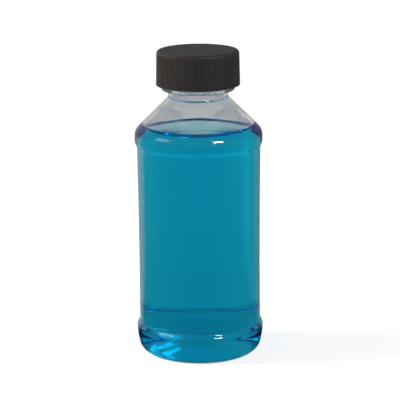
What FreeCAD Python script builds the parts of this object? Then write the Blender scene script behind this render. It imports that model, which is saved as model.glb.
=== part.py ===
import FreeCAD, Part
import math
import os
import Sketcher

# A round clear plastic bottle with two beads, a plain recessed panel between
# them, a conical shoulder and a threaded finish, closed by a ribbed screw cap
# with a foam liner, and filled with a coloured liquid.
# Lengths are in millimetres. The origin is the centre of the foot, +Z is up.
# Heights are stacked: each one is a rise above the feature below it.
SIZES = {
    # Outside of the bottle, from the foot to the finish
    "bead_radius": 23.0,            # widest radius, the same on both beads
    "heel_inset": 1.6,              # foot corner, inside the bead
    "heel_rise": 7.5,               # foot to the corner under the lower bead
    "heel_radius": 4.4,             # rounding where the heel meets the foot
    "lower_bead_radius": 14.0,      # long rounding from the heel into the bead
    "lower_bead_rise": 2.7,         # heel corner to the bead's upper corner
    "lower_blend_rise": 1.45,       # sloping step from the bead to the panel
    "lower_blend_radius": 1.7,      # rounding at both ends of that step
    "panel_recess_bottom": 1.0,     # panel inside the bead, at its lower end
    "panel_recess_top": 0.8,        # panel inside the bead, at its upper end
    "panel_length": 64.35,          # side between the two steps
    "panel_waist": 0.22,            # sag of that side at its middle
    "upper_blend_rise": 2.0,        # sloping step from the panel to the bead
    "upper_blend_radius": 3.2,      # rounding at both ends of that step
    "upper_bead_rise": 4.0,         # bead's lower corner to the shoulder corner
    "shoulder_radius": 3.8,         # rounding over the shoulder
    "shoulder_rise": 12.3,          # cone from the shoulder to the neck
    "neck_inset": 1.7,              # waist of the neck, inside the thread's root
    "neck_blend_radius": 0.8,       # rounding where the cone meets the neck
    "neck_rise": 2.4,               # neck up to the ring's underside
    "ring_overhang": 0.7,           # handling ring, outside the thread's root
    "ring_thickness": 1.5,
    "ring_edge_radius": 0.45,
    "finish_radius": 12.4,          # root of the bottle's thread
    "finish_rise": 10.4,            # ring top to the sealing land
    "land_edge_radius": 0.4,
    # Underside of the bottle
    "stand_width": 5.2,             # foot corner to the inner edge of the foot
    "stand_edge_radius": 1.0,
    "push_up_slope": 10.0,          # width of the shallow cone inside the foot
    "push_up_rise": 2.6,            # flat at the top of that cone, above the foot
    "push_up_edge_radius": 2.2,
    # Walls
    "panel_wall": 0.65,
    "heel_wall": 0.85,
    "base_wall": 1.1,
    "neck_wall": 1.2,
    "finish_wall": 1.9,
    "shoulder_corner_drop": 0.3,    # inner shoulder corner under the outer one
    "shoulder_thickening": 1.1,     # inner neck corner under the outer one
    "inner_shoulder_radius": 3.1,
    "inner_neck_radius": 1.0,
    "knee_reach": 2.5,              # bend in the inner cone, outside the neck's bore
    "knee_drop": 2.65,              # the same bend, under the inner neck corner
    "knee_radius": 8.0,
    "bore_step_lift": 2.5,          # bore starts to widen above the ring's underside
    "bore_step_rise": 2.0,          # height in which it widens
    "inner_bead_radius": 10.0,      # cavity's roundings behind the lower bead
    "inner_blend_radius": 1.5,
    "inner_heel_radius": 2.0,
    "inner_stand_radius": 0.8,
    # Thread, on the bottle and in the cap
    "thread_pitch": 4.233,
    "thread_depth": 1.2,
    "thread_root_width": 2.2,
    "thread_crest_width": 1.0,
    "thread_sink": 0.3,             # how far both threads root in their walls
    "thread_start_rise": 2.3,       # ring top to the middle of the first turn
    "cap_thread_root_width": 1.5,
    "cap_thread_crest_width": 0.7,
    "thread_radial_gap": 0.3,       # crest to root, both ways
    "thread_flank_gap": 0.1,        # least gap between the flanks that bear
    # Screw cap
    "cap_wall": 1.13,               # bore to the ribs' crests, at the open end
    "cap_draft": 0.26,              # narrower by this at the top
    "cap_top_thickness": 1.4,
    "cap_edge_radius": 1.15,
    "cap_clearance": 0.3,           # skirt above the handling ring
    "mouth_chamfer": 0.35,          # lead-in at the skirt's mouth
    "rib_depth": 0.32,
    "rib_gap_width": 0.46,          # mouth of the groove between two ribs
    "rib_end": 1.2,                 # ribs stop this far under the cap's top
    # Liner and liquid
    "liner_thickness": 1.0,
    "liner_gap": 0.4,               # liner's edge inside the cap's bore
    "liquid_gap": 0.05,             # between the liquid and the wall
    "fill_drop": 12.6,              # liquid's level under the neck corner
    "meniscus_inset": 5.1,          # where the level starts to climb, inside the bead
    "meniscus_run": 1.75,           # slope of the climb up the wall
    "meniscus_rise": 2.4,
    "meniscus_radius": 3.0,         # rounding from the level into the climb
    # One overrun for every cut and every fused root
    "overrun": 0.5,
}
RIB_COUNT = 120
BOTTLE_THREAD_TURNS = 1.25
CAP_THREAD_TURNS = 1.25
FULL_TURN = 360.0


class Length:
    """A length that knows its number and the sheet formula that gives it."""

    def __init__(self, value, text):
        self.value = value
        self.text = text

    def __add__(self, other):
        return Length(self.value + other.value, f"({self.text} + {other.text})")

    def __sub__(self, other):
        return Length(self.value - other.value, f"({self.text} - {other.text})")

    def __mul__(self, share):
        return Length(self.value * share, f"({self.text} * {share})")

    def __truediv__(self, count):
        return Length(self.value / count, f"({self.text} / {count})")

    def in_ratio(self, upper, lower):
        """This length times the ratio of two others."""
        value = self.value * upper.value / lower.value
        return Length(value, f"({self.text} * {upper.text} / {lower.text})")


ZERO = Length(0.0, "0")

doc = FreeCAD.newDocument("PlasticBottle")
sheet = doc.addObject("Spreadsheet::Sheet", "Sizes")
for row, (alias, number) in enumerate(SIZES.items(), start=1):
    sheet.set(f"A{row}", alias)
    sheet.set(f"B{row}", str(number))
    sheet.setAlias(f"B{row}", alias)
doc.recompute()


def size(alias):
    return Length(SIZES[alias], f"Sizes.{alias}")


def origin_feature(body, role):
    return next(f for f in body.Origin.OriginFeatures if f.Role == role)


def new_body(name):
    body = doc.addObject("PartDesign::Body", name)
    body.Label = name
    return body


def new_sketch(body, name, plane, lift=ZERO):
    """An empty sketch on one of the body's own planes, lifted along its normal."""
    sketch = body.newObject("Sketcher::SketchObject", name)
    sketch.AttachmentSupport = [(origin_feature(body, plane), "")]
    sketch.MapMode = "FlatFace"
    if lift is not ZERO:
        sketch.setExpression(".AttachmentOffset.Base.z", lift.text)
    return sketch


def bind(sketch, constraint, length):
    """Add a constraint whose number follows the sheet."""
    index = sketch.addConstraint(constraint)
    sketch.setExpression(f"Constraints[{index}]", length.text)


def place_point(sketch, geometry, position, across, up):
    """Hold a sketch point at its distances from the sketch's two axes."""
    if across.value == 0:
        sketch.addConstraint(Sketcher.Constraint("PointOnObject", geometry, position, -2))
    else:
        rule = Sketcher.Constraint("DistanceX", -1, 1, geometry, position, across.value)
        bind(sketch, rule, across)
    if up.value == 0:
        sketch.addConstraint(Sketcher.Constraint("PointOnObject", geometry, position, -1))
    else:
        rule = Sketcher.Constraint("DistanceY", -1, 1, geometry, position, up.value)
        bind(sketch, rule, up)


def corner_arc(before, corner, after, radius):
    """Tangent points, arc and turning side of a rounded corner."""
    inward = (corner - before).normalize()
    outward = (after - corner).normalize()
    turn = inward.getAngle(outward)
    reach = radius * math.tan(turn / 2)
    first = corner - inward * reach
    last = corner + outward * reach
    left = inward.cross(outward).z > 0
    normal = FreeCAD.Vector(-inward.y, inward.x, 0)
    if not left:
        normal = -normal
    centre = first + normal * radius
    start = first if left else last
    end = last if left else first
    circle = Part.Circle(centre, FreeCAD.Vector(0, 0, 1), radius)
    arc = Part.ArcOfCircle(circle, circle.parameter(start), circle.parameter(end))
    return first, last, arc, left


def closed_outline(sketch, corners):
    """Draw a closed outline of (across, up, rounding) corners, fully bound."""
    spots = [FreeCAD.Vector(across.value, up.value, 0) for across, up, rounding in corners]
    count = len(corners)
    ends = []
    arcs = []
    for i, (across, up, rounding) in enumerate(corners):
        if rounding is None:
            ends.append((spots[i], spots[i]))
            arcs.append(None)
            continue
        first, last, arc, left = corner_arc(
            spots[i - 1], spots[i], spots[(i + 1) % count], rounding.value)
        ends.append((first, last))
        arcs.append((arc, left))
    lines = []
    for i in range(count):
        side = Part.LineSegment(ends[i][1], ends[(i + 1) % count][0])
        lines.append(sketch.addGeometry(side, False))
    for i, (across, up, rounding) in enumerate(corners):
        before, after = lines[i - 1], lines[i]
        if arcs[i] is None:
            sketch.addConstraint(Sketcher.Constraint("Coincident", before, 2, after, 1))
            place_point(sketch, after, 1, across, up)
            continue
        arc, left = arcs[i]
        curve = sketch.addGeometry(arc, False)
        arc_in, arc_out = (1, 2) if left else (2, 1)
        sketch.addConstraint(Sketcher.Constraint("Tangent", before, 2, curve, arc_in))
        sketch.addConstraint(Sketcher.Constraint("Tangent", curve, arc_out, after, 1))
        bind(sketch, Sketcher.Constraint("Radius", curve, rounding.value), rounding)
        point = sketch.addGeometry(Part.Point(spots[i]), True)
        place_point(sketch, point, 1, across, up)
        sketch.addConstraint(Sketcher.Constraint("PointOnObject", point, 1, before))
        sketch.addConstraint(Sketcher.Constraint("PointOnObject", point, 1, after))


def turned(body, kind, name, corners):
    """Turn an outline about the vertical axis, adding or cutting."""
    sketch = new_sketch(body, f"{name}_outline", "XZ_Plane")
    closed_outline(sketch, corners)
    feature = body.newObject(f"PartDesign::{kind}", name)
    feature.Profile = sketch
    feature.ReferenceAxis = (sketch, ["V_Axis"])
    feature.Angle = FULL_TURN
    sketch.Visibility = False
    return feature


def thread(body, name, plane, middle, radii, half_widths, turns):
    """Sweep a thread up a right-hand helix: sunk root, root and crest."""
    sunk, root, crest = radii
    root_half, crest_half = half_widths
    sketch = new_sketch(body, f"{name}_section", plane)
    closed_outline(sketch, [
        (sunk, middle - root_half, None),
        (root, middle - root_half, None),
        (crest, middle - crest_half, None),
        (crest, middle + crest_half, None),
        (root, middle + root_half, None),
        (sunk, middle + root_half, None),
    ])
    feature = body.newObject("PartDesign::AdditiveHelix", name)
    feature.Profile = sketch
    feature.ReferenceAxis = (sketch, ["V_Axis"])
    feature.Mode = "pitch-turns-angle"
    feature.setExpression("Pitch", size("thread_pitch").text)
    feature.Turns = turns
    feature.Angle = 0
    feature.LeftHanded = False
    feature.Reversed = False
    feature.HasBeenEdited = True
    sketch.Visibility = False
    return feature


# Stations of the outside, from the foot up
bead = size("bead_radius")
foot_corner = bead - size("heel_inset")
stand_inner = foot_corner - size("stand_width")
push_up_radius = stand_inner - size("push_up_slope")
panel_low = bead - size("panel_recess_bottom")
panel_high = bead - size("panel_recess_top")
waist = (panel_low + panel_high) / 2 - size("panel_waist")
finish = size("finish_radius")
neck = finish - size("neck_inset")
ring = finish + size("ring_overhang")

heel_z = size("heel_rise")
lower_bead_z = heel_z + size("lower_bead_rise")
panel_low_z = lower_bead_z + size("lower_blend_rise")
waist_z = panel_low_z + size("panel_length") / 2
panel_high_z = panel_low_z + size("panel_length")
upper_bead_z = panel_high_z + size("upper_blend_rise")
shoulder_z = upper_bead_z + size("upper_bead_rise")
neck_z = shoulder_z + size("shoulder_rise")
ring_low_z = neck_z + size("neck_rise")
ring_top_z = ring_low_z + size("ring_thickness")
land_z = ring_top_z + size("finish_rise")
bottle_thread_z = ring_top_z + size("thread_start_rise")

# Stations of the inside
neck_bore = neck - size("neck_wall")
knee = neck_bore + size("knee_reach")
finish_bore = finish - size("finish_wall")
bore_step_z = ring_low_z + size("bore_step_lift")
inner_neck_z = neck_z - size("shoulder_thickening")


def cavity_corners(gap):
    """The bottle's inside, or a body of liquid that stays a gap inside it."""
    wall = size("panel_wall") + gap
    heel_wall = size("heel_wall") + gap
    floor_z = size("base_wall") + gap
    return [
        (ZERO, size("push_up_rise") + floor_z, None),
        (push_up_radius + heel_wall, size("push_up_rise") + floor_z, size("push_up_edge_radius")),
        (stand_inner + heel_wall, floor_z, size("inner_stand_radius")),
        (foot_corner - heel_wall, floor_z, size("inner_heel_radius")),
        (bead - heel_wall, heel_z, size("inner_bead_radius")),
        (bead - heel_wall, lower_bead_z, size("inner_blend_radius")),
        (panel_low - wall, panel_low_z, size("inner_blend_radius")),
        (waist - wall, waist_z, None),
        (panel_high - wall, panel_high_z, size("upper_blend_radius")),
        (bead - wall, upper_bead_z, size("upper_blend_radius")),
        (bead - wall, shoulder_z - size("shoulder_corner_drop"), size("inner_shoulder_radius")),
        (knee - gap, inner_neck_z - size("knee_drop"), size("knee_radius")),
        (neck_bore - gap, inner_neck_z, size("inner_neck_radius")),
        (neck_bore - gap, bore_step_z, None),
        (finish_bore - gap, bore_step_z + size("bore_step_rise"), None),
        (finish_bore - gap, land_z + size("overrun"), None),
        (ZERO, land_z + size("overrun"), None),
    ]


def outside_corners():
    """The bottle's outside, closed over the top: the inside is cut from it."""
    return [
        (ZERO, size("push_up_rise"), None),
        (push_up_radius, size("push_up_rise"), size("push_up_edge_radius")),
        (stand_inner, ZERO, size("stand_edge_radius")),
        (foot_corner, ZERO, size("heel_radius")),
        (bead, heel_z, size("lower_bead_radius")),
        (bead, lower_bead_z, size("lower_blend_radius")),
        (panel_low, panel_low_z, size("lower_blend_radius")),
        (waist, waist_z, None),
        (panel_high, panel_high_z, size("upper_blend_radius")),
        (bead, upper_bead_z, size("upper_blend_radius")),
        (bead, shoulder_z, size("shoulder_radius")),
        (neck, neck_z, size("neck_blend_radius")),
        (neck, ring_low_z, None),
        (ring, ring_low_z, size("ring_edge_radius")),
        (ring, ring_top_z, size("ring_edge_radius")),
        (finish, ring_top_z, None),
        (finish, land_z, size("land_edge_radius")),
        (ZERO, land_z, None),
    ]


def make_bottle():
    body = new_body("bottle")
    turned(body, "Revolution", "outside", outside_corners())
    radii = (finish - size("thread_sink"), finish, finish + size("thread_depth"))
    half_widths = (size("thread_root_width") / 2, size("thread_crest_width") / 2)
    thread(body, "finish_thread", "XZ_Plane", bottle_thread_z, radii, half_widths,
           BOTTLE_THREAD_TURNS)
    turned(body, "Groove", "inside", cavity_corners(ZERO))
    return body


def make_liquid():
    body = new_body("liquid")
    turned(body, "Revolution", "filling", cavity_corners(size("liquid_gap")))
    level = neck_z - size("fill_drop")
    climb = bead - size("meniscus_inset")
    past_wall = climb + size("meniscus_run") * 2
    top = land_z + size("overrun") * 2
    turned(body, "Groove", "headspace", [
        (ZERO, level, None),
        (climb, level, size("meniscus_radius")),
        (past_wall, level + size("meniscus_rise") * 2, None),
        (past_wall, top, None),
        (ZERO, top, None),
    ])
    return body


# Stations of the closure
cap_bore = finish + size("thread_depth") + size("thread_radial_gap")
skirt_z = ring_top_z + size("cap_clearance")
liner_top_z = land_z + size("liner_thickness")
cap_top_z = liner_top_z + size("cap_top_thickness")
cap_low = cap_bore + size("cap_wall")
cap_high = cap_low - size("cap_draft")


def cap_corners():
    """The cap's shell before its ribs are cut, open underneath."""
    return [
        (cap_bore, skirt_z + size("mouth_chamfer"), None),
        (cap_bore + size("mouth_chamfer"), skirt_z, None),
        (cap_low, skirt_z, None),
        (cap_high, cap_top_z, size("cap_edge_radius")),
        (ZERO, cap_top_z, None),
        (ZERO, liner_top_z, None),
        (cap_bore, liner_top_z, None),
    ]


def make_cap():
    body = new_body("screw_cap")
    turned(body, "Revolution", "shell", cap_corners())
    rib_groove(body)
    # The cap's turn lies under the bottle's, so that it pulls the cap down.
    # It starts a quarter turn on, which is a quarter of the pitch higher.
    half_widths = (size("cap_thread_root_width") / 2, size("cap_thread_crest_width") / 2)
    bite = size("thread_root_width") / 2 + half_widths[1] + size("thread_flank_gap")
    middle = bottle_thread_z + size("thread_pitch") / 4 - bite
    radii = (cap_bore + size("thread_sink"), cap_bore, finish + size("thread_radial_gap"))
    thread(body, "cap_thread", "YZ_Plane", middle, radii, half_widths, CAP_THREAD_TURNS)
    return body


def rib_groove(body):
    """Cut one leaning groove between two ribs, and repeat it round the cap."""
    depth = size("rib_depth")
    overrun = size("overrun")
    half = (size("rib_gap_width") / 2).in_ratio(depth + overrun, depth)
    outlines = []
    for name, height, radius in (
            ("groove_low", skirt_z - overrun, cap_low),
            ("groove_high", cap_top_z - size("rib_end"), cap_high)):
        sketch = new_sketch(body, name, "XY_Plane", height)
        closed_outline(sketch, [
            (radius - depth, ZERO, None),
            (radius + overrun, ZERO - half, None),
            (radius + overrun, half, None),
        ])
        sketch.Visibility = False
        outlines.append(sketch)
    groove = body.newObject("PartDesign::SubtractiveLoft", "rib_groove")
    groove.Profile = outlines[0]
    groove.Sections = [outlines[1]]
    groove.Ruled = True
    doc.recompute()
    ribs = body.newObject("PartDesign::PolarPattern", "ribs")
    ribs.Originals = [groove]
    ribs.Axis = (origin_feature(body, "Z_Axis"), [""])
    ribs.Angle = FULL_TURN
    ribs.Occurrences = RIB_COUNT
    body.Tip = ribs


def make_liner():
    body = new_body("cap_liner")
    sketch = new_sketch(body, "liner_circle", "XY_Plane", land_z)
    radius = cap_bore - size("liner_gap")
    circle = Part.Circle(FreeCAD.Vector(0, 0, 0), FreeCAD.Vector(0, 0, 1), radius.value)
    index = sketch.addGeometry(circle, False)
    sketch.addConstraint(Sketcher.Constraint("Coincident", index, 3, -1, 1))
    bind(sketch, Sketcher.Constraint("Radius", index, radius.value), radius)
    pad = body.newObject("PartDesign::Pad", "liner_disc")
    pad.Profile = sketch
    pad.setExpression("Length", size("liner_thickness").text)
    sketch.Visibility = False
    return body


bodies = [make_bottle(), make_liquid(), make_liner(), make_cap()]
doc.recompute()

for item in doc.Objects:
    for word in ("Invalid", "Error"):
        if word in item.State:
            raise RuntimeError(f"{item.Label} is {word}")
for body in bodies:
    shape = body.Shape
    if shape.isNull() or not shape.isValid() or len(shape.Solids) != 1:
        raise RuntimeError(f"{body.Label} is not one valid solid")

os.makedirs("parts", exist_ok=True)
for body in bodies:
    body.Shape.exportStep(f"parts/{body.Label}.step")
    box = body.Shape.optimalBoundingBox(True, False)
    print(f"{body.Label}: volume {body.Shape.Volume:.1f} mm3, z {box.ZMin:.2f} to {box.ZMax:.2f},"
          f" radius {box.XMax:.2f}, faces {len(body.Shape.Faces)}")
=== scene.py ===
import math

import bmesh
import bpy
from mathutils import Matrix, Quaternion, Vector


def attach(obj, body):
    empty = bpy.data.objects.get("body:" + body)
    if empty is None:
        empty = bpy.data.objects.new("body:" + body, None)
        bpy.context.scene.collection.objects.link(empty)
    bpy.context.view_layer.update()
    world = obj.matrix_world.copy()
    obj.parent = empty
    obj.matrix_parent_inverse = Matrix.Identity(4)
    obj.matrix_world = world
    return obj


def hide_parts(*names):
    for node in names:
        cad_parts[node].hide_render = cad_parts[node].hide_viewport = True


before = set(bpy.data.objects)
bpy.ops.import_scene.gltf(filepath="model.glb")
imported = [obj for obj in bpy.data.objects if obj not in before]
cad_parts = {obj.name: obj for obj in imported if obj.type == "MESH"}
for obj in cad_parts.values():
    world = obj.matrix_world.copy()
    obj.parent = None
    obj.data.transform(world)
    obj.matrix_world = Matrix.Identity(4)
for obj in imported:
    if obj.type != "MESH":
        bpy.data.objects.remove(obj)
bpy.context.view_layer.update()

# A round clear bottle of blue liquid, closed by a black ribbed screw cap with a
# foam liner. Sizes are in millimetres, and each finished mesh is scaled to metres.
# Names ending in _Z are heights above the foot, and names ending in _ROUND are the
# radii of rounded corners. BEAD, PANEL, NECK, RING, FINISH, BORE and KNEE are radii
# from the bottle's axis.
MM = 0.001
FULL_TURN = math.radians(360)

# Outside of the bottle
PUSH_UP_RISE = 2.6
PUSH_UP_RADIUS = 6.2
PUSH_UP_ROUND = 2.2
STAND_INNER = 16.2
STAND_ROUND = 1.0
FOOT_CORNER = 21.4
HEEL_ROUND = 4.4
BEAD = 23.0
BEAD_ROUND = 14.0
BLEND_ROUND = 1.7
PANEL_LOW = 22.0
PANEL_HIGH = 22.2
PANEL_WAIST = 0.22
WAIST_ROUND = 1500
HEEL_Z = 7.5
LOWER_BEAD_Z = 10.2
PANEL_LOW_Z = 11.65
PANEL_HIGH_Z = 76.0
UPPER_BEAD_Z = 78.0
UPPER_BLEND_ROUND = 3.2
SHOULDER_Z = 82.0
SHOULDER_ROUND = 3.8
NECK = 10.7
NECK_Z = 94.3
NECK_ROUND = 0.8
RING = 13.1
RING_LOW_Z = 96.7
RING_TOP_Z = 98.2
RING_ROUND = 0.45
RING_FILLET = 0.3
FINISH = 12.4
LAND_Z = 108.6
LAND_ROUND = 0.4

# Inside of the bottle
WALL = 0.65
HEEL_WALL = 0.85
BASE_WALL = 1.1
INNER_BEAD_ROUND = 10.0
INNER_BLEND_ROUND = 1.5
INNER_HEEL_ROUND = 2.0
INNER_STAND_ROUND = 0.8
INNER_SHOULDER_Z = SHOULDER_Z - 0.3
INNER_SHOULDER_ROUND = 3.1
INNER_NECK_Z = NECK_Z - 1.1
INNER_NECK_ROUND = 1.0
NECK_BORE = NECK - 1.2
KNEE = NECK_BORE + 2.5
KNEE_Z = INNER_NECK_Z - 2.65
KNEE_ROUND = 8.0
FINISH_BORE = FINISH - 1.9
BORE_STEP_Z = RING_LOW_Z + 2.5
BORE_STEP_RISE = 2.0
BORE_STEP_ROUND = 1.0

# Thread of the finish and of the cap
PITCH = 4.233
THREAD_TURNS = 1.25
THREAD_DEPTH = 1.2
THREAD_ROOT = 2.2
THREAD_CREST = 1.0
THREAD_Z = RING_TOP_Z + 2.3
THREAD_FADE = math.radians(25)
CAP_THREAD_ROOT = 1.5
CAP_THREAD_CREST = 0.7
CAP_THREAD_STEPS = 150
THREAD_GAP = 0.3
FLANK_GAP = 0.1
THREAD_SINK = 0.3

# Liquid
LEVEL_Z = 81.7
MENISCUS_CORNER = 17.9
MENISCUS_RISE = 2.4
MENISCUS_ROUND = 3.0
WETTING = 0.15

# Cap and liner
CAP_BORE = FINISH + THREAD_DEPTH + THREAD_GAP
SKIRT_Z = RING_TOP_Z + 0.3
SKIRT_ROUND = 0.2
LEAD_IN = 0.35
LEAD_IN_ROUND = 0.1
LINER_RADIUS = CAP_BORE - 0.4
LINER_TOP_Z = LAND_Z + 1.0
LINER_ROUND = 0.2
CAP_TOP_Z = LINER_TOP_Z + 1.4
CAP_LOW = CAP_BORE + 1.13
CAP_HIGH = CAP_LOW - 0.26
CAP_EDGE_ROUND = 1.15
RIB_COUNT = 120
RIB_SAMPLES = 8
RIB_DEPTH = 0.3
RIB_FULLNESS = 0.7
RIB_END = 1.2
RIB_FADE = 0.4
RIB_BAND = 0.25

# How finely the meshes are divided, and how near counts as touching
BOTTLE_STEPS = 192
THREAD_CUTS = 12
LONGEST_SIDE = 2.5
ARC_STEP = math.radians(7)
SHARP_EDGE = math.radians(35)
MERGE_DISTANCE = 0.001
TOUCHING = 0.01

# Finishes
PLASTIC_IOR = 1.57
LIQUID_IOR = 1.333
HAZE_TINTS = ((0.94, 0.95, 0.95), (0.96, 0.96, 0.955))
BLACK_TINTS = ((0.023, 0.0225, 0.022), (0.029, 0.028, 0.0265))
FOAM_TINTS = ((0.84, 0.84, 0.82), (0.7, 0.7, 0.68))
LIQUID_TINT = (0.0, 0.892, 0.972)
LIQUID_DENSITY = 130
PATTERN_LOW = 0.3
PATTERN_HIGH = 0.7

# Camera: where the picture was taken from, in metres, and its framing
AIM = Vector((0, 0, 0.055))
CAMERA_DISTANCE = 0.70
CAMERA_ELEVATION = math.radians(13.8)
CAMERA_ROLL = math.radians(-0.5)
SENSOR_WIDTH = 36
FRAME_PIXELS = 400
FOCAL_PIXELS = 1932
AIM_PIXEL = (199.1, 202.7)

# Lamps
LAMP_DISTANCE = 0.9
WARM = (1, 0.83, 0.74)

# Levels of the sky and the floor, as (place, level) stops. The parts of a direction
# run from -1 to 1, and distances on the floor are in metres.
SKY_LIGHT_BY_UP = ((0.0, 0.55), (1.0, 0.05))
SKY_SEEN_BY_UP = ((0.0, 0.48), (0.4, 0.38), (0.85, 0.47), (1.0, 0.6))
SKY_SEEN_IN_FRONT = 2.8
MIRRORED_BY_BACK = ((0.4, 0.0), (0.66, 0.5))
MIRRORED_BY_RIGHT = ((-0.3, 1.0), (0.6, 0.4))
SEEN_AT_LEFT = ((-0.6, 1.05), (-0.45, 1.2), (-0.3, 1.0))
SEEN_AT_RIGHT = ((0.3, 1.0), (0.5, 1.07))
FRONT_ENDS = -0.1
BACK_STARTS = 0.35
# What see-through rays meet of the floor is darker close to the bottle: a painted shadow of
# the bottle.
FLOOR_SEEN_WITH_PAINTED_SHADOW = ((0.045, 0.33), (0.062, 0.46), (0.25, 0.5), (1.2, 0.6))
FLOOR_SEEN_IN_FRONT = 0.45
FLOOR_UNDER_BOTTLE = ((0.045, 1.0), (0.065, 0.0))
FLOOR_SHOWN_BY_DISTANCE = ((0.1, 0.62), (0.9, 0.8))
FLOOR_COLOUR = 0.6
FLOOR_REACH = 3

# Rays that are bent many times in the bottle's thick corners still come out
LIGHT_BOUNCES = 128


def round_corner(mesh, point, rounding):
    """Round one corner of a wire outline with an arc of the given radius."""
    ways = [edge.other_vert(point).co - point.co for edge in point.link_edges]
    turn = math.pi - ways[0].angle(ways[1])
    bmesh.ops.bevel(
        mesh, geom=[point], offset=rounding * math.tan(turn / 2), offset_type="OFFSET",
        segments=max(2, math.ceil(turn / ARC_STEP)), profile=0.5, affect="VERTICES",
        material=-1, clamp_overlap=False)


def outline(corners):
    """A wire of (radius, height, rounding) corners, with its long sides divided."""
    mesh = bmesh.new()
    points = [mesh.verts.new((across, 0, up)) for across, up, rounding in corners]
    for pair in zip(points, points[1:]):
        mesh.edges.new(pair)
    for point, (across, up, rounding) in zip(points, corners):
        if rounding:
            round_corner(mesh, point, rounding)
    for edge in mesh.edges[:]:
        cuts = int(edge.calc_length() / LONGEST_SIDE)
        if cuts:
            bmesh.ops.subdivide_edges(mesh, edges=[edge], cuts=cuts)
    return mesh


def turned(mesh, steps):
    """Spin a wire outline an eighth of a turn, and double that until it closes."""
    wire = mesh.verts[:] + mesh.edges[:]
    bmesh.ops.spin(mesh, geom=wire, cent=(0, 0, 0), axis=(0, 0, 1), dvec=(0, 0, 0),
                   angle=FULL_TURN / 8, steps=steps // 8)
    for turn in (FULL_TURN / 8, FULL_TURN / 4, FULL_TURN / 2):
        everything = mesh.verts[:] + mesh.edges[:] + mesh.faces[:]
        copy = bmesh.ops.duplicate(mesh, geom=everything)["geom"]
        points = [item for item in copy if isinstance(item, bmesh.types.BMVert)]
        bmesh.ops.rotate(mesh, cent=(0, 0, 0), matrix=Matrix.Rotation(turn, 3, "Z"),
                         verts=points)
    bmesh.ops.remove_doubles(mesh, verts=mesh.verts, dist=MERGE_DISTANCE)
    bmesh.ops.recalc_face_normals(mesh, faces=mesh.faces)
    return mesh


def outward(point):
    """The way to a point straight out from the bottle's axis."""
    return Vector((point.x, point.y, 0))


def piece(mesh, name, node, body, slot, *materials):
    """Make a finished mesh a piece that stands for a CAD node and rides on its body."""
    bmesh.ops.scale(mesh, vec=(MM, MM, MM), verts=mesh.verts)
    data = bpy.data.meshes.new(name)
    mesh.to_mesh(data)
    mesh.free()
    data.shade_smooth()
    data.set_sharp_from_angle(angle=SHARP_EDGE)
    for material in materials:
        data.materials.append(material)
    made = bpy.data.objects.new(name, data)
    bpy.context.scene.collection.objects.link(made)
    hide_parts(node)
    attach(made, body)


def panel(inset, low_round, high_round):
    """Corners of the slightly waisted panel and the beads' edges, set in by a wall."""
    middle = (PANEL_LOW + PANEL_HIGH) / 2 - PANEL_WAIST
    return [
        (PANEL_LOW - inset, PANEL_LOW_Z, low_round),
        (middle - inset, (PANEL_LOW_Z + PANEL_HIGH_Z) / 2, WAIST_ROUND),
        (PANEL_HIGH - inset, PANEL_HIGH_Z, high_round),
        (BEAD - inset, UPPER_BEAD_Z, high_round),
    ]


def cavity(reach):
    """Corners of the bottle's inside up to the bore, pushed out by a reach."""
    wall = WALL - reach
    heel = HEEL_WALL - reach
    floor = BASE_WALL - reach
    return [
        (0, PUSH_UP_RISE + floor, 0),
        (PUSH_UP_RADIUS + heel, PUSH_UP_RISE + floor, PUSH_UP_ROUND),
        (STAND_INNER + heel, floor, INNER_STAND_ROUND),
        (FOOT_CORNER - heel, floor, INNER_HEEL_ROUND),
        (BEAD - heel, HEEL_Z, INNER_BEAD_ROUND),
        (BEAD - heel, LOWER_BEAD_Z, INNER_BLEND_ROUND),
        *panel(wall, INNER_BLEND_ROUND, UPPER_BLEND_ROUND),
        (BEAD - wall, INNER_SHOULDER_Z, INNER_SHOULDER_ROUND),
        (KNEE + reach, KNEE_Z, KNEE_ROUND),
        (NECK_BORE + reach, INNER_NECK_Z, INNER_NECK_ROUND),
    ]


def thread_height(point):
    """How much of the thread's depth stands at a point of the finish."""
    angle = math.atan2(point.y, point.x) % FULL_TURN
    tallest = 0
    while angle <= THREAD_TURNS * FULL_TURN:
        middle = THREAD_Z + PITCH * angle / FULL_TURN
        flank = (THREAD_ROOT / 2 - abs(point.z - middle)) / (THREAD_ROOT - THREAD_CREST) * 2
        fade = min(angle, THREAD_TURNS * FULL_TURN - angle) / THREAD_FADE
        tallest = max(tallest, min(flank, fade, 1))
        angle += FULL_TURN
    return tallest


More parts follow.
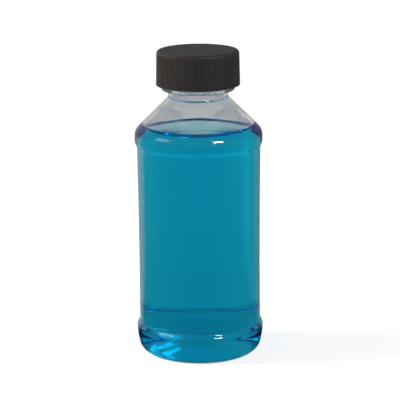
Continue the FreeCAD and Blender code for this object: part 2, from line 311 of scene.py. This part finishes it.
def make_bottle(dry, wetted):
    """The clear shell: dry plastic, with wetted plastic where the liquid touches it."""
    corners = [
        (0, PUSH_UP_RISE, 0),
        (PUSH_UP_RADIUS, PUSH_UP_RISE, PUSH_UP_ROUND),
        (STAND_INNER, 0, STAND_ROUND),
        (FOOT_CORNER, 0, HEEL_ROUND),
        (BEAD, HEEL_Z, BEAD_ROUND),
        (BEAD, LOWER_BEAD_Z, BLEND_ROUND),
        *panel(0, BLEND_ROUND, UPPER_BLEND_ROUND),
        (BEAD, SHOULDER_Z, SHOULDER_ROUND),
        (NECK, NECK_Z, NECK_ROUND),
        (NECK, RING_LOW_Z, RING_FILLET),
        (RING, RING_LOW_Z, RING_ROUND),
        (RING, RING_TOP_Z, RING_ROUND),
        (FINISH, RING_TOP_Z, RING_FILLET),
        (FINISH, LAND_Z, LAND_ROUND),
        (FINISH_BORE, LAND_Z, LAND_ROUND),
        (FINISH_BORE, BORE_STEP_Z + BORE_STEP_RISE, BORE_STEP_ROUND),
        (NECK_BORE, BORE_STEP_Z, BORE_STEP_ROUND),
    ] + cavity(0)[::-1]
    mesh = outline(corners)
    threaded = [edge for edge in mesh.edges
                if all(abs(end.co.x - FINISH) < TOUCHING for end in edge.verts)]
    bmesh.ops.subdivide_edges(mesh, edges=threaded, cuts=THREAD_CUTS)
    turned(mesh, BOTTLE_STEPS)
    for point in mesh.verts:
        out = outward(point.co)
        if abs(out.length - FINISH) < TOUCHING and point.co.z > RING_TOP_Z:
            point.co += out.normalized() * THREAD_DEPTH * thread_height(point.co)
    middle = Vector((0, 0, LEVEL_Z / 2))
    for face in mesh.faces:
        centre = face.calc_center_median()
        inside = face.normal.dot(centre - middle) < 0
        if inside and centre.z < LEVEL_Z + MENISCUS_RISE:
            face.material_index = 1
    piece(mesh, "bottle_shell", "bottle", "bottle_body", "clear_wall", dry, wetted)


def make_liquid(material):
    """The blue contents, wetting the wall up to the meniscus's edge on the cone."""
    edge_z = LEVEL_Z + MENISCUS_RISE
    corners = [corner for corner in cavity(WETTING) if corner[1] < edge_z]
    cone_run = BEAD - WALL - KNEE
    cone_rise = KNEE_Z - INNER_SHOULDER_Z
    edge = BEAD - WALL - cone_run * (edge_z - INNER_SHOULDER_Z) / cone_rise
    corners += [
        (edge + WETTING, edge_z, 0),
        (MENISCUS_CORNER, LEVEL_Z, MENISCUS_ROUND),
        (0, LEVEL_Z, 0),
    ]
    mesh = turned(outline(corners), BOTTLE_STEPS)
    # The open top is level or faces the axis, and the wetted side faces out
    open_air = mesh.faces.layers.float.new("open_air")
    for face in mesh.faces:
        centre = face.calc_center_median()
        faces_out = face.normal.dot(outward(centre)) > TOUCHING
        face[open_air] = centre.z > LEVEL_Z - TOUCHING and not faces_out
    piece(mesh, "blue_liquid", "liquid", "bottle_body", "blue_liquid", material)


def rib_drop(angle):
    """How far the cap's surface lies under the ribs' crests at an angle."""
    share = angle * RIB_COUNT / FULL_TURN % 1
    return RIB_DEPTH * max(0, math.cos(share * FULL_TURN)) ** RIB_FULLNESS


def make_cap(material):
    """The ribbed cap, whose ribs fade out under its rounded top edge."""
    corners = [
        (0, CAP_TOP_Z, 0),
        (CAP_HIGH, CAP_TOP_Z, CAP_EDGE_ROUND),
        (CAP_LOW, SKIRT_Z, SKIRT_ROUND),
        (CAP_BORE + LEAD_IN, SKIRT_Z, LEAD_IN_ROUND),
        (CAP_BORE, SKIRT_Z + LEAD_IN, LEAD_IN_ROUND),
        (CAP_BORE, LINER_TOP_Z, LINER_ROUND),
        (0, LINER_TOP_Z, 0),
    ]
    mesh = turned(outline(corners), RIB_COUNT * RIB_SAMPLES)
    ribs_top = CAP_TOP_Z - RIB_END + RIB_FADE
    for point in mesh.verts:
        out = outward(point.co)
        if out.length > CAP_HIGH - RIB_BAND and point.co.z < ribs_top:
            fade = min(1, (ribs_top - point.co.z) / RIB_FADE)
            point.co -= out.normalized() * rib_drop(math.atan2(point.co.y, point.co.x)) * fade
    add_cap_thread(mesh)
    piece(mesh, "ribbed_cap", "screw_cap", "cap", "cap_black", material)


def add_cap_thread(mesh):
    """Sweep the cap's thread up a helix and add it to the bore."""
    root = CAP_THREAD_ROOT / 2
    crest = CAP_THREAD_CREST / 2
    middle = THREAD_Z + PITCH / 4 - THREAD_ROOT / 2 - crest - FLANK_GAP
    section = [
        (CAP_BORE + THREAD_SINK, middle - root),
        (CAP_BORE, middle - root),
        (FINISH + THREAD_GAP, middle - crest),
        (FINISH + THREAD_GAP, middle + crest),
        (CAP_BORE, middle + root),
        (CAP_BORE + THREAD_SINK, middle + root),
    ]
    ridge = bmesh.new()
    start = ridge.faces.new([ridge.verts.new((0, across, up)) for across, up in section])
    everything = ridge.verts[:] + ridge.edges[:] + [start]
    copy = bmesh.ops.duplicate(ridge, geom=everything)["geom"]
    edges = [item for item in copy if isinstance(item, bmesh.types.BMEdge)]
    bmesh.ops.spin(ridge, geom=edges, cent=(0, 0, 0), axis=(0, 0, 1),
                   dvec=(0, 0, PITCH * THREAD_TURNS / CAP_THREAD_STEPS),
                   angle=THREAD_TURNS * FULL_TURN, steps=CAP_THREAD_STEPS)
    bmesh.ops.remove_doubles(ridge, verts=ridge.verts, dist=MERGE_DISTANCE)
    bmesh.ops.holes_fill(ridge, edges=ridge.edges, sides=len(section))
    bmesh.ops.recalc_face_normals(ridge, faces=ridge.faces)
    data = bpy.data.meshes.new("ridge")
    ridge.to_mesh(data)
    ridge.free()
    mesh.from_mesh(data)
    bpy.data.meshes.remove(data)


def make_liner(material):
    """The foam disc under the cap's top."""
    corners = [
        (0, LAND_Z, 0),
        (LINER_RADIUS, LAND_Z, LINER_ROUND),
        (LINER_RADIUS, LINER_TOP_Z, LINER_ROUND),
        (0, LINER_TOP_Z, 0),
    ]
    mesh = turned(outline(corners), BOTTLE_STEPS)
    piece(mesh, "foam_liner", "cap_liner", "liner", "liner_foam", material)


def graded(tree, value, stops):
    """A level that passes smoothly through (value, level) stops."""
    total = None
    for (low, start), (high, end) in zip(stops, stops[1:]):
        step = tree.nodes.new("ShaderNodeMapRange")
        step.interpolation_type = "SMOOTHSTEP"
        step.inputs["From Min"].default_value = low
        step.inputs["From Max"].default_value = high
        step.inputs["To Min"].default_value = start if total is None else 0
        step.inputs["To Max"].default_value = end if total is None else end - start
        tree.links.new(value, step.inputs["Value"])
        level = step.outputs["Result"]
        total = level if total is None else computed(tree, "ADD", total, level)
    return total


def computed(tree, operation, first, second):
    """What a sum or product of two levels gives."""
    node = tree.nodes.new("ShaderNodeMath")
    node.operation = operation
    tree.links.new(first, node.inputs[0])
    tree.links.new(second, node.inputs[1])
    return node.outputs["Value"]


def chosen(tree, answer, no, yes):
    """One level where a light path's answer is no, and another where it is yes."""
    mix = tree.nodes.new("ShaderNodeMix")
    mix.data_type = "FLOAT"
    tree.links.new(answer, mix.inputs["Factor"])
    for name, given in (("A", no), ("B", yes)):
        if isinstance(given, float):
            mix.inputs[name].default_value = given
        else:
            tree.links.new(given, mix.inputs[name])
    return mix.outputs["Result"]


def new_material(name):
    """A node material, its node tree and its Principled shader."""
    material = bpy.data.materials.new(name)
    material.use_nodes = True
    tree = material.node_tree
    return material, tree, tree.nodes["Principled BSDF"]


def pattern(tree, kind, scale):
    """A pattern node with so many features to the metre of the object."""
    source = tree.nodes.new("ShaderNodeTexCoord")
    node = tree.nodes.new(kind)
    node.inputs["Scale"].default_value = scale
    tree.links.new(source.outputs["Object"], node.inputs["Vector"])
    return node


def noise(tree, scale, detail):
    """A cloudy pattern."""
    node = pattern(tree, "ShaderNodeTexNoise", scale)
    node.inputs["Detail"].default_value = detail
    return node.outputs["Fac"]


def cells(tree, scale):
    """Distance from the middles of small cells."""
    return pattern(tree, "ShaderNodeTexVoronoi", scale).outputs["Distance"]


def bumped(tree, shader, height, distance):
    """Let a pattern raise the surface by a distance in metres."""
    bump = tree.nodes.new("ShaderNodeBump")
    bump.inputs["Strength"].default_value = 1.0
    bump.inputs["Distance"].default_value = distance
    tree.links.new(height, bump.inputs["Height"])
    tree.links.new(bump.outputs["Normal"], shader.inputs["Normal"])


def tinted(tree, shader, share, first, second):
    """Let a pattern pass the base colour from a first colour to a second."""
    mix = tree.nodes.new("ShaderNodeMix")
    mix.data_type = "RGBA"
    mix.inputs["A"].default_value = (*first, 1)
    mix.inputs["B"].default_value = (*second, 1)
    tree.links.new(share, mix.inputs["Factor"])
    tree.links.new(mix.outputs["Result"], shader.inputs["Base Color"])


def roughened(tree, shader, share, smooth, rough):
    """Let a pattern pass the roughness from a smooth value to a rough one."""
    level = graded(tree, share, ((PATTERN_LOW, smooth), (PATTERN_HIGH, rough)))
    tree.links.new(level, shader.inputs["Roughness"])


def clear_plastic(name, ior):
    """Blown clear plastic, bending light as it does against air or against liquid."""
    material, tree, shader = new_material(name)
    shader.inputs["IOR"].default_value = ior
    shader.inputs["Transmission Weight"].default_value = 1
    haze = noise(tree, scale=220, detail=2)
    tinted(tree, shader, haze, *HAZE_TINTS)
    roughened(tree, shader, haze, smooth=0.0, rough=0.012)
    bumped(tree, shader, noise(tree, scale=110, detail=1), distance=0.00004)
    return material


def dyed_liquid():
    """Clear water with a blue dye that darkens with depth."""
    material, tree, shader = new_material("dyed_liquid")
    shader.inputs["Base Color"].default_value = (1, 1, 1, 1)
    shader.inputs["Transmission Weight"].default_value = 1
    roughened(tree, shader, noise(tree, scale=150, detail=1), smooth=0.0, rough=0.005)
    bumped(tree, shader, noise(tree, scale=90, detail=1), distance=0.00002)
    # The wetted wall bends the light, so the liquid bends it at its open top only
    open_air = tree.nodes.new("ShaderNodeAttribute")
    open_air.attribute_name = "open_air"
    bending = tree.nodes.new("ShaderNodeMapRange")
    bending.inputs["To Min"].default_value = 1.0
    bending.inputs["To Max"].default_value = LIQUID_IOR
    tree.links.new(open_air.outputs["Fac"], bending.inputs["Value"])
    tree.links.new(bending.outputs["Result"], shader.inputs["IOR"])
    volume = tree.nodes.new("ShaderNodeVolumeAbsorption")
    volume.inputs["Color"].default_value = (*LIQUID_TINT, 1)
    volume.inputs["Density"].default_value = LIQUID_DENSITY
    tree.links.new(volume.outputs["Volume"], tree.nodes["Material Output"].inputs["Volume"])
    return material


def black_plastic():
    """Moulded black plastic with a fine grain and rubbed patches."""
    material, tree, shader = new_material("black_plastic")
    rubbed = noise(tree, scale=350, detail=3)
    tinted(tree, shader, rubbed, *BLACK_TINTS)
    roughened(tree, shader, rubbed, smooth=0.56, rough=0.66)
    bumped(tree, shader, noise(tree, scale=7000, detail=2), distance=0.00002)
    return material


def white_foam():
    """Closed-cell foam with its cells cut open at the surface."""
    material, tree, shader = new_material("white_foam")
    cut_cells = cells(tree, scale=3200)
    tinted(tree, shader, cut_cells, *FOAM_TINTS)
    roughened(tree, shader, noise(tree, scale=400, detail=2), smooth=0.8, rough=0.95)
    bumped(tree, shader, cut_cells, distance=0.00006)
    return material


def make_camera():
    """The camera, in front of the bottle and a little above it."""
    data = bpy.data.cameras.new("camera")
    data.sensor_width = SENSOR_WIDTH
    data.lens = FOCAL_PIXELS / FRAME_PIXELS * data.sensor_width
    data.shift_x = (FRAME_PIXELS / 2 - AIM_PIXEL[0]) / FRAME_PIXELS
    data.shift_y = (AIM_PIXEL[1] - FRAME_PIXELS / 2) / FRAME_PIXELS
    camera = bpy.data.objects.new("camera", data)
    bpy.context.scene.collection.objects.link(camera)
    back = Vector((0, -math.cos(CAMERA_ELEVATION), math.sin(CAMERA_ELEVATION)))
    camera.location = AIM + back * CAMERA_DISTANCE
    level = (-back).to_track_quat("-Z", "Y")
    camera.rotation_euler = (level @ Quaternion((0, 0, 1), CAMERA_ROLL)).to_euler()
    bpy.context.scene.camera = camera


def softbox(name, azimuth, elevation, width, height, power, colour=(1, 1, 1)):
    """A soft area lamp that points at the bottle, from degrees round it and up."""
    data = bpy.data.lights.new(name, "AREA")
    data.shape = "RECTANGLE"
    data.size = width
    data.size_y = height
    data.energy = power
    data.color = colour
    lamp = bpy.data.objects.new(name, data)
    bpy.context.scene.collection.objects.link(lamp)
    side = math.radians(azimuth)
    up = math.radians(elevation)
    way = Vector((math.sin(side) * math.cos(up), -math.cos(side) * math.cos(up), math.sin(up)))
    lamp.location = AIM + way * LAMP_DISTANCE
    lamp.rotation_euler = (-way).to_track_quat("-Z", "Y").to_euler()
    return lamp


def vector_node(tree, operation, coordinate):
    """A vector operation on a texture coordinate."""
    source = tree.nodes.new("ShaderNodeTexCoord")
    node = tree.nodes.new("ShaderNodeVectorMath")
    node.operation = operation
    tree.links.new(source.outputs[coordinate], node.inputs[0])
    return node


def direction(tree, coordinate):
    """The parts of a coordinate's direction: right, back and up."""
    split = tree.nodes.new("ShaderNodeSeparateXYZ")
    way = vector_node(tree, "NORMALIZE", coordinate)
    tree.links.new(way.outputs["Vector"], split.inputs["Vector"])
    return split.outputs["X"], split.outputs["Y"], split.outputs["Z"]


def mirrored_level(tree, right, back):
    """What mirrored rays meet: dark in front of the bottle, a pale backdrop behind."""
    backdrop = graded(tree, back, MIRRORED_BY_BACK)
    return computed(tree, "MULTIPLY", backdrop, graded(tree, right, MIRRORED_BY_RIGHT))


def seen_level(tree, level, right, back, front):
    """What see-through rays meet: a level, changed at the sides and in front."""
    sides = computed(tree, "MULTIPLY", graded(tree, right, SEEN_AT_LEFT),
                     graded(tree, right, SEEN_AT_RIGHT))
    depth = graded(tree, back, ((FRONT_ENDS, front), (BACK_STARTS, 1.0)))
    return computed(tree, "MULTIPLY", computed(tree, "MULTIPLY", level, depth), sides)


def level_by_ray(tree, lit, mirrored, seen, shown):
    """A level for each kind of ray: lighting, mirrored, see-through and the camera's."""
    path = tree.nodes.new("ShaderNodeLightPath")
    level = chosen(tree, path.outputs["Is Glossy Ray"], lit, mirrored)
    level = chosen(tree, path.outputs["Is Transmission Ray"], level, seen)
    return chosen(tree, path.outputs["Is Camera Ray"], level, shown)


def make_world():
    """Soft light from all round, on a plain white background."""
    world = bpy.data.worlds.new("studio")
    bpy.context.scene.world = world
    world.use_nodes = True
    tree = world.node_tree
    sky = tree.nodes["Background"]
    sky.inputs["Color"].default_value = (1, 1, 1, 1)
    right, back, up = direction(tree, "Generated")
    lit = graded(tree, up, SKY_LIGHT_BY_UP)
    seen = graded(tree, up, SKY_SEEN_BY_UP)
    seen = seen_level(tree, seen, right, back, SKY_SEEN_IN_FRONT)
    level = level_by_ray(tree, lit, mirrored_level(tree, right, back), seen, 1.0)
    tree.links.new(level, sky.inputs["Strength"])


def pale_floor():
    """A pale floor that keeps shadows, and glows a little more away from the bottle;
    see-through rays meet a painted shadow of the bottle on it.
    """
    material, tree, shader = new_material("pale_floor")
    right, back = direction(tree, "Object")[:2]
    distance = vector_node(tree, "LENGTH", "Object").outputs["Value"]
    # The floor under the bottle counts as behind it
    back_or_near = computed(tree, "ADD", back, graded(tree, distance, FLOOR_UNDER_BOTTLE))
    # Painted shadow: see-through rays meet a darker floor close to the bottle
    seen = graded(tree, distance, FLOOR_SEEN_WITH_PAINTED_SHADOW)
    seen = seen_level(tree, seen, right, back_or_near, FLOOR_SEEN_IN_FRONT)
    shown = graded(tree, distance, FLOOR_SHOWN_BY_DISTANCE)
    level = level_by_ray(tree, 0.0, mirrored_level(tree, right, back), seen, shown)
    tree.links.new(level, shader.inputs["Emission Strength"])
    path = tree.nodes.new("ShaderNodeLightPath")
    colour = chosen(tree, path.outputs["Is Glossy Ray"], FLOOR_COLOUR, 0.0)
    tree.links.new(colour, shader.inputs["Base Color"])
    shader.inputs["Roughness"].default_value = 1
    shader.inputs["Specular IOR Level"].default_value = 0
    shader.inputs["Emission Color"].default_value = (1, 1, 1, 1)
    return material


def make_floor(material):
    """The floor that the bottle stands on."""
    mesh = bmesh.new()
    bmesh.ops.create_grid(mesh, x_segments=1, y_segments=1, size=FLOOR_REACH)
    data = bpy.data.meshes.new("floor")
    mesh.to_mesh(data)
    mesh.free()
    data.materials.append(material)
    floor = bpy.data.objects.new("floor", data)
    bpy.context.scene.collection.objects.link(floor)


def make_lamps():
    """A key lamp at the right, a weak one at the left, and a warm one for the rim."""
    softbox("key_softbox", azimuth=38, elevation=33.5, width=0.26, height=0.19, power=4.5)
    softbox("side_softbox", azimuth=-74, elevation=33, width=0.43, height=0.27, power=0.8)
    rim = softbox("rim_softbox", azimuth=-92, elevation=6, width=0.4, height=0.2, power=23,
                  colour=WARM)
    rim.visible_glossy = False
    rim.visible_transmission = False


make_bottle(clear_plastic("clear_plastic", PLASTIC_IOR),
            clear_plastic("wetted_plastic", PLASTIC_IOR / LIQUID_IOR))
make_liquid(dyed_liquid())
make_cap(black_plastic())
make_liner(white_foam())
make_camera()
make_world()
make_floor(pale_floor())
make_lamps()
bpy.context.scene.view_settings.view_transform = "Standard"
cycles = bpy.context.scene.cycles
cycles.max_bounces = LIGHT_BOUNCES
cycles.glossy_bounces = LIGHT_BOUNCES
cycles.transmission_bounces = LIGHT_BOUNCES
